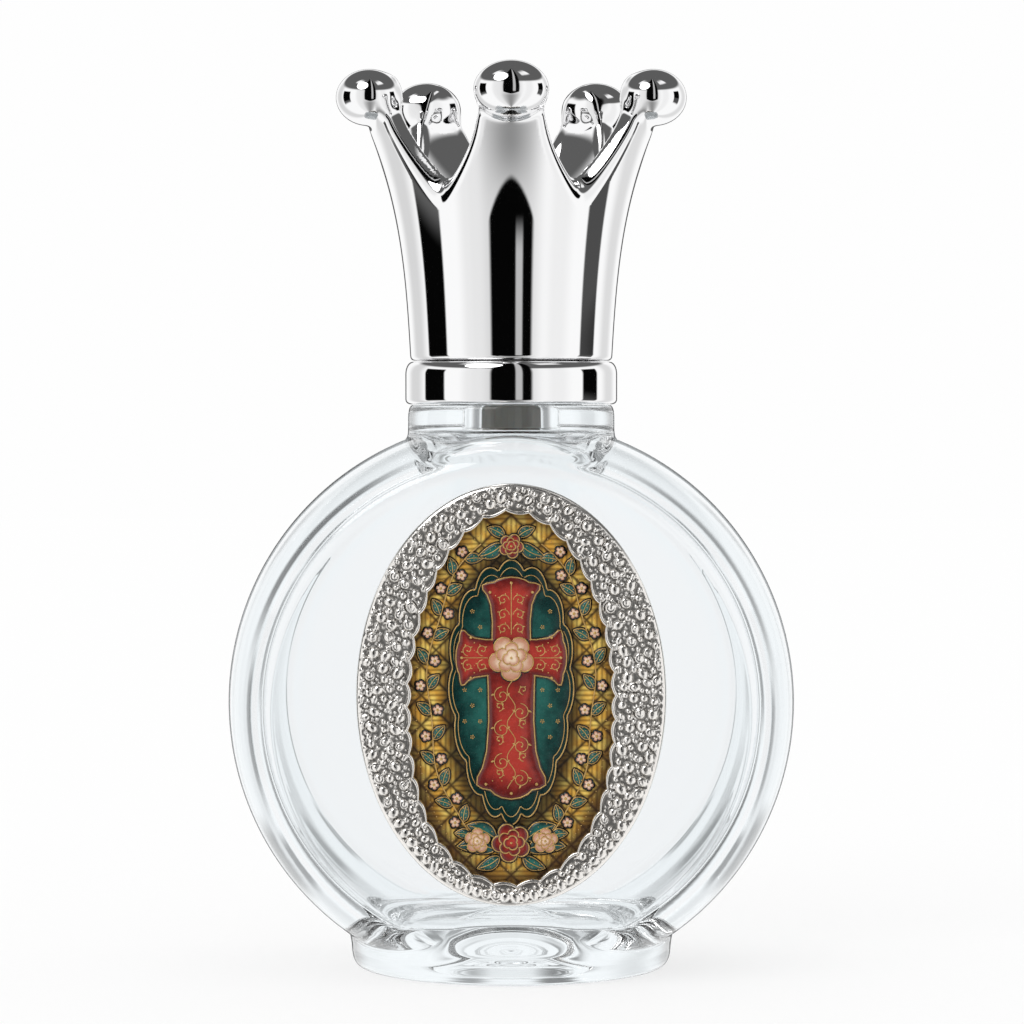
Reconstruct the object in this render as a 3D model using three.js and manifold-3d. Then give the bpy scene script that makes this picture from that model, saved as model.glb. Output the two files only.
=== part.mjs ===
import * as THREE from "three";
import { mergeVertices } from "three/addons/utils/BufferGeometryUtils.js";
import Module from "manifold-3d";

const wasm = await Module();
wasm.setup();

// Millimetres, Z up. The plaque faces -Y and the origin is the centre of the flat underside.

// Clearances
const seatGap = 0.3; // between a piece and what it sits on or in
const threadGap = 0.25; // radial, between the neck and the inner cap
const skirtGap = 0.5; // radial, between the inner cap and the collar ring

// Glass body: a thick disc standing on its rim, with a round foot and a stepped shoulder
const bodyRadius = 30.2;
const bodyHalfDepth = 16;
const faceRadius = 24.6; // of the flat front and back
const rimLandHalfDepth = 3; // straight part of the rim
const rimWall = 3.8;
const faceWall = 3.3;
const cavityFaceRadius = 25.2;
const baseThickness = 5.4; // of glass under the cavity
const passageHalfWidth = 9; // of the cavity's way up into the shoulder
const passageHalfDepth = 10.8;
const passageRounding = 4; // height of its rounded top
const passageTop = 0.83; // share of its width left at the top
const shoulderRoof = 3; // glass between that top and the shoulder's flat
const bodySink = 1.54; // how far the disc would pass below the underside
const footRadius = 17.2;
const footHeight = 3.9;
const footEdge = 1.2; // rounding of the foot
const shoulderRadius = 10.95;
const shoulderRise = 1.24; // above the top of the disc
const shoulderEdge = 1.1;

// Threaded neck
const neckRadius = 6.6;
const neckHeight = 11.1; // above the shoulder
const boreRadius = 3.5;
const threadPitch = 3;
const threadDepth = 0.75;
const threadRootWidth = 1.5;
const threadCrestWidth = 0.75;
const threadRunUp = 3.25; // from the shoulder to the middle of the first turn
const threadRunOut = 1.85; // from the middle of the last turn to the top of the neck
const neckBeadHeight = 1.8; // plain band that the collar ring goes round

// Orifice reducer pressed into the bore
const reducerLength = 14.4; // long enough to end under the shoulder, where it shows through the glass
const reducerWall = 0.8;
const reducerFlangeRadius = 5.6;
const reducerFlange = 0.7;
const reducerHole = 0.6;
const reducerFloor = 0.9;

// Sealing disc and threaded inner cap
const linerThickness = 1;
const innerCapWall = 1.4;
const innerCapTop = 1.2;

// Collar ring round the foot of the neck
const collarRadius = 11.4;
const collarHeight = 4.5;
const collarFloor = 1.2;
const collarEdge = 0.85;

// Crown shell
const crownBaseRadius = 10.75;
const crownHeight = 27.3; // from its lower edge to the tips of the spikes
const crownTaperGain = 3.4; // radius gained by the straight taper over that height
const crownFlareStart = 14; // height where the flare begins
const crownFlareGain = 2.1; // radius gained by the flare at the tips
const crownWall = 2.7;
const crownFloor = 2.5;
const spikeCount = 5;
const notchDepth = 11; // from the tips down to a valley
const notchHalfWidth = 6.2; // at the tips
const notchCurve = 1.7;
const valleyRise = 1.6; // how much higher a valley is inside than outside
const ballRadius = 3.8;
const ballHalfHeight = 3;
const ballLift = 0.8; // from the tips to the middle of a ball
const ballOffset = 0.6; // of a ball in from the outer surface of its spike

// Plaque glued to the front
const plaqueHalfWidth = 16;
const plaqueHalfHeight = 21.8;
const plaqueRise = 1.8; // of its middle above the middle of the disc
const openingHalfWidth = 10.6; // between the hollows of the scallops
const openingTop = 19; // above the middle of the plaque
const openingBottom = 19.5; // below it
const openingTopPower = 1.11; // above 1 draws the opening in towards its top
const openingBottomPower = 0.76; // below 1 keeps it full towards its bottom
const padThickness = 0.8;
const padInset = 1;
const backPlateThickness = 0.6;
const panelThickness = 0.8;
const frameRim = 0.8; // outer wall of the frame
const frameCrest = 0.9; // thickness of the frame over the panel, at its crest
const frameLip = 0.45; // thickness of the frame at its scalloped edge
const sideBand = 2.2; // plain band round the outside of the frame
const scallopCount = 40;
const scallopDepth = 0.4;

// Facets
const bodySides = 60;
const neckSides = 36;
const crownSides = 50;
const ballSides = 16;
const ballRings = 8;
const plateSides = 36;
const stepsPerScallop = 4;
const cutReach = 5; // how far a cutting shape runs past what it cuts

// Heights and radii that follow from the sizes above
const bodyCentre = bodyRadius - bodySink;
const shoulderTop = bodyCentre + bodyRadius + shoulderRise;
const neckTop = shoulderTop + neckHeight;
const threadRadius = neckRadius + threadDepth;
const threadStart = shoulderTop + threadRunUp;
const threadTurns = (neckHeight - threadRunUp - threadRunOut) / threadPitch;
const linerBottom = neckTop + reducerFlange + seatGap;
const innerCapCeiling = linerBottom + linerThickness + seatGap;
const innerCapBore = threadRadius + threadGap;
const innerCapRadius = innerCapBore + innerCapWall;
const collarBottom = shoulderTop + seatGap;
const collarTop = collarBottom + collarHeight;
const innerCapBottom = collarBottom + collarFloor + seatGap;
const crownBottom = collarTop + seatGap;
const crownTip = crownBottom + crownHeight;
const socketRadius = innerCapRadius + seatGap;
const socketCeiling = innerCapCeiling + innerCapTop + seatGap;
const bowlFloor = socketCeiling + crownFloor;

const plaqueCentre = bodyCentre + plaqueRise;
const plateHalfWidth = plaqueHalfWidth - frameRim - seatGap;
const plateHalfHeight = plaqueHalfHeight - frameRim - seatGap;
const padFront = bodyHalfDepth + padThickness;
const backPlateFront = padFront + backPlateThickness;
const panelFront = backPlateFront + panelThickness;
const lipBack = panelFront + seatGap;

// A closed three.js geometry as a solid that can be joined and cut
function solidOf(geometry) {
  const bare = geometry.clone();
  for (const name of ["normal", "uv"]) {
    bare.deleteAttribute(name);
  }
  const welded = mergeVertices(bare, 1e-4);
  const mesh = new wasm.Mesh({
    numProp: 3,
    vertProperties: welded.attributes.position.array,
    triVerts: new Uint32Array(welded.index.array),
  });
  return new wasm.Manifold(mesh);
}

// A solid as a three.js geometry with flat facets
function geometryOf(solid) {
  const mesh = solid.getMesh();
  const geometry = new THREE.BufferGeometry();
  geometry.setAttribute("position", new THREE.BufferAttribute(mesh.vertProperties, 3));
  geometry.setIndex(new THREE.BufferAttribute(mesh.triVerts, 1));
  geometry.computeVertexNormals();
  return geometry;
}

// Points on a quarter or other stretch of an ellipse, angles in quarter turns
function arc(centreX, centreY, radiusX, radiusY, from, to, steps) {
  const points = [];
  for (let i = 0; i <= steps; i += 1) {
    const angle = ((from + ((to - from) * i) / steps) * Math.PI) / 2;
    points.push([centreX + radiusX * Math.cos(angle), centreY + radiusY * Math.sin(angle)]);
  }
  return points;
}

// A profile of [radius, distance along the axis] points turned about Y. The facets start half
// a facet round, so that no edge of one turned piece falls exactly on an edge of what cuts it.
function turnedAboutY(profile, sides) {
  const points = profile.map(([x, y]) => new THREE.Vector2(x, y));
  return new THREE.LatheGeometry(points, sides, Math.PI / sides);
}

// The same, turned about the upright axis
function turnedAboutZ(profile, sides) {
  return turnedAboutY(profile, sides).rotateX(Math.PI / 2);
}

// Rings of points joined into one skin, with flat ends unless the rings close on themselves
function skinned(rings, closed) {
  const count = rings[0].length;
  const faces = [];
  const pairs = closed ? rings.length : rings.length - 1;
  for (let i = 0; i < pairs; i += 1) {
    const next = (i + 1) % rings.length;
    for (let j = 0; j < count; j += 1) {
      const side = (j + 1) % count;
      faces.push(i * count + j, i * count + side, next * count + side);
      faces.push(i * count + j, next * count + side, next * count + j);
    }
  }
  if (!closed) {
    const last = (rings.length - 1) * count;
    for (let j = 1; j < count - 1; j += 1) {
      faces.push(0, j + 1, j);
      faces.push(last, last + j, last + j + 1);
    }
  }
  const geometry = new THREE.BufferGeometry();
  geometry.setAttribute("position", new THREE.Float32BufferAttribute(rings.flat(2), 3));
  geometry.setIndex(faces);
  return geometry;
}

// A thread of tapering section winding up round Z, its ends fading into the wall
function threadRidge(wallRadius, crestRadius, firstHeight, turns) {
  const steps = Math.round(turns * neckSides);
  const fadeSteps = neckSides / 8;
  const rooted = wallRadius + Math.sign(wallRadius - crestRadius) * threadGap;
  const rings = [];
  for (let i = 0; i <= steps; i += 1) {
    const angle = (i / steps) * turns * 2 * Math.PI;
    const height = firstHeight + (i / steps) * turns * threadPitch;
    const fade = Math.min(1, (i + 0.5) / fadeSteps, (steps - i + 0.5) / fadeSteps);
    const crest = rooted + (crestRadius - rooted) * fade;
    const corners = [
      [rooted, -threadRootWidth / 2],
      [crest, -threadCrestWidth / 2],
      [crest, threadCrestWidth / 2],
      [rooted, threadRootWidth / 2],
    ];
    if (crestRadius > wallRadius) {
      corners.reverse();
    }
    rings.push(corners.map(([r, z]) => [r * Math.cos(angle), r * Math.sin(angle), height + z]));
  }
  return solidOf(skinned(rings, false));
}

// A disc about Y with flat faces and a rim that is rounded outside a straight land
function roundBody(radius, halfDepth, flatRadius, landHalfDepth, steps) {
  const roundX = radius - flatRadius;
  const roundY = halfDepth - landHalfDepth;
  const profile = [
    [0, -halfDepth],
    ...arc(flatRadius, -landHalfDepth, roundX, roundY, -1, 0, steps),
    ...arc(flatRadius, landHalfDepth, roundX, roundY, 0, 1, steps),
    [0, halfDepth],
  ];
  return solidOf(turnedAboutY(profile, bodySides).translate(0, 0, bodyCentre));
}

function glassBottle() {
  const disc = roundBody(bodyRadius, bodyHalfDepth, faceRadius, rimLandHalfDepth, 6);
  const foot = solidOf(turnedAboutZ([
    [0, 0],
    ...arc(footRadius - footEdge, footEdge, footEdge, footEdge, -1, 0, 3),
    ...arc(footRadius - footEdge, footHeight - footEdge / 2, footEdge, footEdge / 2, 0, 1, 2),
    [0, footHeight],
  ], bodySides));
  const shoulder = solidOf(turnedAboutZ([
    [0, bodyCentre],
    [shoulderRadius, bodyCentre],
    ...arc(shoulderRadius - shoulderEdge, shoulderTop - shoulderEdge, shoulderEdge, shoulderEdge, 0, 1, 3),
    [threadRadius, shoulderTop],
    [threadRadius, shoulderTop + neckBeadHeight],
    [neckRadius, shoulderTop + neckBeadHeight + threadDepth / 2],
    [neckRadius, neckTop],
    [0, neckTop],
  ], neckSides));
  const thread = threadRidge(neckRadius, threadRadius, threadStart, threadTurns);
  const belowFoot = solidOf(new THREE.BoxGeometry(2 * bodyRadius, 2 * bodyHalfDepth, 2 * cutReach)
    .translate(0, 0, -cutReach));
  const hollow = roundBody(
    bodyRadius - rimWall,
    bodyHalfDepth - faceWall,
    cavityFaceRadius,
    rimLandHalfDepth,
    5,
  );
  const solidBase = solidOf(new THREE.BoxGeometry(2 * bodyRadius, 2 * bodyHalfDepth, 2 * baseThickness));
  const passageEnd = shoulderTop - shoulderRoof;
  const passageWidth = passageHalfWidth * passageTop;
  const bend = passageEnd - passageRounding;
  const passage = solidOf(turnedAboutZ([
    [0, bodyCentre],
    [passageHalfWidth, bodyCentre],
    ...arc(passageWidth, bend, passageHalfWidth - passageWidth, passageRounding, 0, 1, 4),
    [0, passageEnd],
  ], neckSides).scale(1, passageHalfDepth / passageHalfWidth, 1));
  const cavity = hollow.subtract(solidBase).add(passage);
  const bore = solidOf(turnedAboutZ([
    [0, bodyCentre],
    [boreRadius, bodyCentre],
    [boreRadius, neckTop + cutReach],
    [0, neckTop + cutReach],
  ], neckSides));
  const outside = disc.add(foot).add(shoulder).add(thread).subtract(belowFoot);
  return geometryOf(outside.subtract(cavity).subtract(bore));
}

function orificeReducer() {
  const sleeve = boreRadius - seatGap;
  const inside = sleeve - reducerWall;
  const bottom = neckTop - reducerLength;
  const flangeTop = neckTop + reducerFlange;
  return turnedAboutZ([
    [reducerHole, bottom],
    [sleeve, bottom],
    [sleeve, neckTop],
    [reducerFlangeRadius, neckTop],
    [reducerFlangeRadius, flangeTop],
    [inside, flangeTop],
    [inside, bottom + reducerFloor],
    [reducerHole, bottom + reducerFloor],
    [reducerHole, bottom],
  ], neckSides);
}

function sealingDisc() {
  const radius = innerCapBore - seatGap;
  return turnedAboutZ([
    [0, linerBottom],
    [radius, linerBottom],
    [radius, linerBottom + linerThickness],
    [0, linerBottom + linerThickness],
  ], neckSides);
}

function innerCap() {
  const top = innerCapCeiling + innerCapTop;
  const shell = solidOf(turnedAboutZ([
    [innerCapBore, innerCapBottom],
    [innerCapRadius, innerCapBottom],
    [innerCapRadius, top],
    [0, top],
    [0, innerCapCeiling],
    [innerCapBore, innerCapCeiling],
    [innerCapBore, innerCapBottom],
  ], neckSides));
  const crest = neckRadius + threadGap;
  const ridge = threadRidge(innerCapBore, crest, threadStart + threadPitch / 2, threadTurns);
  return geometryOf(shell.add(ridge));
}

function collarRing() {
  const inside = innerCapRadius + skirtGap;
  const floor = collarBottom + collarFloor;
  const mid = collarRadius - collarEdge;
  return turnedAboutZ([
    [threadRadius + seatGap, collarBottom],
    ...arc(mid, collarBottom + collarEdge, collarEdge, collarEdge, -1, 0, 3),
    ...arc(mid, collarTop - collarEdge, collarEdge, collarEdge, 0, 1, 3),
    [inside, collarTop],
    [inside, floor],
    [threadRadius + seatGap, floor],
    [threadRadius + seatGap, collarBottom],
  ], crownSides);
}

// Outer radius of the crown at a height above its lower edge
function crownRadius(height) {
  const share = height / crownHeight;
  const flare = Math.max(0, height - crownFlareStart) / (crownHeight - crownFlareStart);
  return crownBaseRadius + crownTaperGain * share + crownFlareGain * flare * flare;
}

// One side of the gap between two spikes, from its valley up past the tips
function notchOutline(lift) {
  const steps = 6;
  const side = [];
  for (let i = 0; i <= steps; i += 1) {
    const share = i / steps;
    const halfWidth = notchHalfWidth * (1 - (1 - share) ** notchCurve);
    const valley = crownTip - notchDepth + lift;
    side.push([halfWidth, valley + (crownTip - valley) * share]);
  }
  side.push([notchHalfWidth, crownTip + cutReach]);
  const mirrored = side.slice(1).reverse().map(([x, z]) => [-x, z]);
  return [...side, ...mirrored];
}

function notch(turn) {
  const tipRadius = crownRadius(crownHeight);
  const near = crownRadius(crownHeight - notchDepth) - crownWall - cutReach;
  const wallShare = (tipRadius + cutReach - near) / crownWall;
  const beyond = cutReach + tipRadius - crownRadius(crownHeight - notchDepth);
  const outerLift = -valleyRise * (beyond / crownWall);
  const innerLift = outerLift + valleyRise * wallShare;
  const rings = [
    notchOutline(innerLift).map(([x, z]) => [x, -near, z]),
    notchOutline(outerLift).map(([x, z]) => [x, -tipRadius - cutReach, z]),
  ];
  return solidOf(skinned(rings, false).rotateZ(turn));
}

function crownShell() {
  const outer = [];
  const inner = [];
  const steps = 9;
  for (let i = 0; i <= steps; i += 1) {
    const height = (crownHeight * i) / steps;
    outer.push([crownRadius(height), crownBottom + height]);
  }
  const bowlDepth = crownTip - bowlFloor;
  for (let i = steps; i >= 0; i -= 1) {
    const height = crownHeight - bowlDepth + (bowlDepth * i) / steps;
    inner.push([crownRadius(height) - crownWall, crownBottom + height]);
  }
  let shell = solidOf(turnedAboutZ([
    [socketRadius, crownBottom],
    ...outer,
    ...inner,
    [0, bowlFloor],
    [0, socketCeiling],
    [socketRadius, socketCeiling],
    [socketRadius, crownBottom],
  ], crownSides));
  for (let i = 0; i < spikeCount; i += 1) {
    const turn = (2 * Math.PI * (i + 0.5)) / spikeCount;
    shell = shell.subtract(notch(turn));
  }
  for (let i = 0; i < spikeCount; i += 1) {
    const turn = (2 * Math.PI * i) / spikeCount;
    const ball = new THREE.SphereGeometry(ballRadius, ballSides, ballRings)
      .scale(1, ballHalfHeight / ballRadius, 1)
      .rotateX(Math.PI / 2)
      .translate(0, ballOffset - crownRadius(crownHeight), crownTip + ballLift)
      .rotateZ(turn);
    shell = shell.add(solidOf(ball));
  }
  return geometryOf(shell);
}

// An oval plate facing -Y, between two distances in front of the bottle's middle plane
function ovalPlate(halfWidth, halfHeight, back, front) {
  const outline = new THREE.Shape();
  outline.absellipse(0, 0, halfWidth, halfHeight, 0, 2 * Math.PI);
  const options = { depth: front - back, bevelEnabled: false, curveSegments: plateSides };
  return new THREE.ExtrudeGeometry(outline, options)
    .rotateX(Math.PI / 2)
    .translate(0, -back, plaqueCentre);
}

// Points evenly spaced round the frame's egg-shaped opening, from its right-hand side
function openingOutline(count) {
  const fineSteps = 3600;
  const fine = [];
  const run = [0];
  for (let i = 0; i <= fineSteps; i += 1) {
    const angle = (2 * Math.PI * i) / fineSteps;
    const rise = Math.sin(angle);
    const up = rise > 0
      ? openingTop * rise ** openingTopPower
      : -openingBottom * Math.abs(rise) ** openingBottomPower;
    fine.push([openingHalfWidth * Math.cos(angle), up]);
    if (i > 0) {
      run.push(run[i - 1] + Math.hypot(fine[i][0] - fine[i - 1][0], fine[i][1] - fine[i - 1][1]));
    }
  }
  const points = [];
  let k = 0;
  for (let i = 0; i < count; i += 1) {
    const wanted = (run[fineSteps] * i) / count;
    while (run[k + 1] <= wanted) {
      k += 1;
    }
    const share = (wanted - run[k]) / (run[k + 1] - run[k]);
    points.push([0, 1].map((axis) => fine[k][axis] + share * (fine[k + 1][axis] - fine[k][axis])));
  }
  return points;
}

// The frame's wall, domed band and scalloped lip, carried round the oval
function plaqueFrame() {
  const back = bodyHalfDepth + seatGap;
  const recessWidth = plateHalfWidth + seatGap;
  const recessHeight = plateHalfHeight + seatGap;
  const total = scallopCount * stepsPerScallop;
  const rings = [];
  openingOutline(total).forEach(([across, up], i) => {
    // the frame's section lies along the ray from the middle of the plaque through this point
    const reach = Math.hypot(across, up);
    const lobe = scallopDepth * Math.abs(Math.sin((Math.PI * i) / stepsPerScallop));
    const ovalReach = (halfWidth, halfHeight) => reach / Math.hypot(across / halfWidth, up / halfHeight);
    const place = (distance, front) => [
      (across / reach) * distance,
      -front,
      plaqueCentre + (up / reach) * distance,
    ];
    const recess = ovalReach(recessWidth, recessHeight);
    const outer = ovalReach(plaqueHalfWidth, plaqueHalfHeight);
    const lip = reach - lobe;
    rings.push([
      place(recess, back),
      place(recess, lipBack),
      place(lip, lipBack),
      place(lip, lipBack + frameLip),
      place((outer + lip) / 2, lipBack + frameCrest),
      place(outer, back + sideBand),
      place(outer, back),
    ]);
  });
  return skinned(rings, true);
}

function finish(color, roughness, metalness) {
  return new THREE.MeshStandardMaterial({ color, roughness, metalness });
}

const clearGlass = finish("#e9eff1", 0.04, 0);
clearGlass.transparent = true;
clearGlass.opacity = 0.35;

const pieces = [
  ["glass_bottle", glassBottle(), clearGlass],
  ["orifice_reducer", orificeReducer(), finish("#f1f2f0", 0.45, 0)],
  ["collar_ring", collarRing(), finish("#d9dadb", 0.06, 1)],
  ["sealing_disc", sealingDisc(), finish("#e6e4de", 0.7, 0)],
  ["inner_cap", innerCap(), finish("#f4f4f2", 0.4, 0)],
  ["crown_shell", crownShell(), finish("#dcdddf", 0.05, 1)],
  [
    "plaque_pad",
    ovalPlate(plateHalfWidth - padInset, plateHalfHeight - padInset, bodyHalfDepth, padFront),
    finish("#d8d8d4", 0.8, 0),
  ],
  [
    "plaque_back_plate",
    ovalPlate(plateHalfWidth, plateHalfHeight, padFront, backPlateFront),
    finish("#a9abad", 0.35, 1),
  ],
  [
    "picture_panel",
    ovalPlate(plateHalfWidth, plateHalfHeight, backPlateFront, panelFront),
    finish("#8a6a2c", 0.25, 0.4),
  ],
  ["plaque_frame", plaqueFrame(), finish("#b9bbbd", 0.22, 1)],
];

const group = new THREE.Group();
for (const [name, geometry, material] of pieces) {
  const mesh = new THREE.Mesh(geometry, material);
  mesh.name = name;
  group.add(mesh);
}

export default group;
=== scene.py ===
# Holy water bottle: clear glass, a chrome crown cap and a beaded plaque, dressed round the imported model.
import bpy
import math
import numpy as np
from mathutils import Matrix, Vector


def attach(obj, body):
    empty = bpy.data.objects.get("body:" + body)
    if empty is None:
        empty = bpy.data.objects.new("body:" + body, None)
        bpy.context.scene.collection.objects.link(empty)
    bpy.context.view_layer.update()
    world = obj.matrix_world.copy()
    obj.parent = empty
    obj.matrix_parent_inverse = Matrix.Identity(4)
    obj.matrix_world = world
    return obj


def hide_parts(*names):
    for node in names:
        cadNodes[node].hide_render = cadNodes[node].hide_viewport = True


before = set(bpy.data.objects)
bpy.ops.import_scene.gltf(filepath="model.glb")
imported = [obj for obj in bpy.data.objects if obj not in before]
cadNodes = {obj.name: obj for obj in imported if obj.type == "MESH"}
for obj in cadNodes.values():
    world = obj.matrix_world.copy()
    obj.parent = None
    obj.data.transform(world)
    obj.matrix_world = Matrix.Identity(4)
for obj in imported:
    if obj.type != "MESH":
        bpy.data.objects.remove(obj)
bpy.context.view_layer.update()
mm = 0.001  # sizes in the dictionaries below are millimetres
print("model loaded")


# Camera, standing where the photographer stood: a long lens, a little above the bottle's middle
view = {"distance": 400, "height": 60.9, "aimSide": 0.08, "aimHeight": 48.8, "lens": 130.5, "sensor": 36}


def placeCamera():
    data = bpy.data.cameras.new("camera")
    data.sensor_width = view["sensor"]
    data.lens = view["lens"]
    data.clip_start = 0.01
    camera = bpy.data.objects.new("camera", data)
    camera.location = (0, -view["distance"] * mm, view["height"] * mm)
    aim = Vector((view["aimSide"] * mm, 0, view["aimHeight"] * mm)) - camera.location
    camera.rotation_euler = aim.to_track_quat("-Z", "Y").to_euler()
    bpy.context.collection.objects.link(camera)
    bpy.context.scene.camera = camera


placeCamera()
print("camera placed")


# Shader trees: each node is one call, whose inputs are values or other nodes' outputs
class Tree:
    def __init__(self, nodeTree):
        self.tree = nodeTree
        self.tree.nodes.clear()

    def node(self, kind, inputs=None, **settings):
        made = self.tree.nodes.new("ShaderNode" + kind)
        for key, value in settings.items():
            setattr(made, key, value)
        for key, value in (inputs or {}).items():
            if isinstance(value, bpy.types.NodeSocket):
                self.tree.links.new(value, made.inputs[key])
            else:
                made.inputs[key].default_value = value
        return made

    def math(self, operation, *values):
        return self.node("Math", dict(enumerate(values)), operation=operation).outputs[0]

    def plus(self, a, b):
        return self.math("ADD", a, b)

    def minus(self, a, b):
        return self.math("SUBTRACT", a, b)

    def times(self, *values):
        product = values[0]
        for value in values[1:]:
            product = self.math("MULTIPLY", product, value)
        return product

    def blend(self, factor, a, b):
        return self.node("Mix", {0: factor, 6: a, 7: b}, data_type="RGBA").outputs[2]

    def smoothStep(self, value, low, high):
        limits = {"Value": value, "From Min": low, "From Max": high}
        return self.node("MapRange", limits, interpolation_type="SMOOTHSTEP").outputs[0]

    def between(self, value, low, high):
        return self.node("MapRange", {"Value": value, "To Min": low, "To Max": high}).outputs[0]

    def place(self):
        return self.node("TexCoord").outputs["Object"]

    def noise(self, scale, detail, roughness=0.5):
        look = {"Vector": self.place(), "Scale": scale, "Detail": detail, "Roughness": roughness}
        return self.node("TexNoise", look).outputs["Fac"]

    def relief(self):
        # how high a point of a casting or an enamel cell stands, from 0 to 1
        return self.node("Attribute", attribute_name="relief").outputs["Fac"]

    def bump(self, height, strength, distance):
        look = {"Height": height, "Strength": strength, "Distance": distance * mm}
        return self.node("Bump", look).outputs[0]

    def finishWith(self, shader):
        self.node("OutputMaterial", {"Surface": shader})

    def finishAs(self, look):
        self.finishWith(self.node("BsdfPrincipled", look).outputs[0])


def newMaterial(name):
    material = bpy.data.materials.new(name)
    material.use_nodes = True
    return material, Tree(material.node_tree)


def grey(level):
    return (level, level, level, 1)


# Studio: white all round, with black flags that only gloss and glass see.
# Angles are degrees round from the camera's side, and heights are sines of the elevation
studio = {
    "daylight": 0.8,       # what matt surfaces are lit by
    "backdrop": 0.991,     # what the camera sees
    "gleam": 1.0,          # white as polished metal sees it
    "flagBlack": 0.0015,
    "frontFlag": (0, 22.6, 2),               # centre, half width, softness
    "frontArch": (-0.485, 0.15, 1.65, 0.03),  # its lower edge: middle, rise to its sides, curve, softness
    "frontStrip": (8.4, 3.6, 1.2),           # lit strip in it
    "frontStripEnd": (-0.34, -0.22, 0.5),    # heights between which it lights up, and its level
    # centre, half width, softness, then the heights between which it greys downwards, and that grey
    "sideFlags": ((-92.5, 15, 1.5, -0.17, -0.27, 0.11), (95.5, 11.5, 1.5, -0.03, -0.09, 0.075)),
    "sideReach": (-0.40, -0.28, 0.33, 0.28),  # heights between which they fade in below, and out above
    # soft grey on the table in front: centre, half width, softness, depth
    "tableShade": (-1, 19, 19, 0.62),
    "tableReach": (-0.3, -0.62),       # heights between which it comes in
    # other soft greys, in the same terms
    "greys": (
        (-3, 31, 13, 0.28),
        (-45, 9, 7, 0.14),
        (52, 12, 8, 0.10),
        (-128, 14, 9, 0.3),
        (132, 12, 8, 0.25),
    ),
    "ceiling": (0.41, 0.53, 0.11),     # where it begins, and its grey
    "windows": ((-66, 20, 4), (62, 20, 4)),   # bright panels in it
    "windowReach": (0.76, 0.84, 0.97, 0.89),
    # dark cloths beside the backdrop, by the angle from straight behind: middle, half width, softness, level
    "edgeCloths": (10.75, 7.25, 1.2, 0.10),
    "glassWhite": (0.955, 0.965, 0.975, 1),
    "glassTint": (0.94, 0.98, 1),
    "glassAxis": (0.99677, -0.0803),   # from the camera through the middle of the glass: its way back and up
    # what thick glass bends into view: angles from that axis, softness, level, way round the axis, spread
    "glassRings": (
        (5.2, 60, 1.2, 1.0, 90, 180),
        (10.5, 18, 2.2, 0.86, 90, 180),
        (10.5, 17.5, 1.8, 0.22, 143, 34),
        (10.5, 16, 2.2, 0.36, 34, 38),
        (7, 13.5, 1.8, 0.36, -170, 22),
        (7, 12.5, 1.8, 0.42, -14, 20),
        (17.5, 24, 1.5, 0.42, -141, 12),
        (17.5, 24, 1.5, 0.42, -37, 13),
        (7, 15, 1.5, 0.36, -40, 9),
        (7, 15, 1.5, 0.40, -139, 9),
        (30, 44, 6, 0.8, 120, 120),
        (62, 112, 12, 0.35, 90, 180),
        (130, 170, 10, 0.75, 90, 180),
    ),
    "spreadCore": 0.35,    # share of a patch's spread over which it is full
    "sunStrength": 0.9,
    "sunAngle": 35,
    "sunWay": (0.45, 0.55, -0.8),
    "floorHalf": 1500,
    "floorDrop": 0.02,     # keeps the floor off the bottle's underside
    "floorWhite": 0.985,
    "floorGlow": 0.72,     # share of plain white in the floor
}


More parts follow.
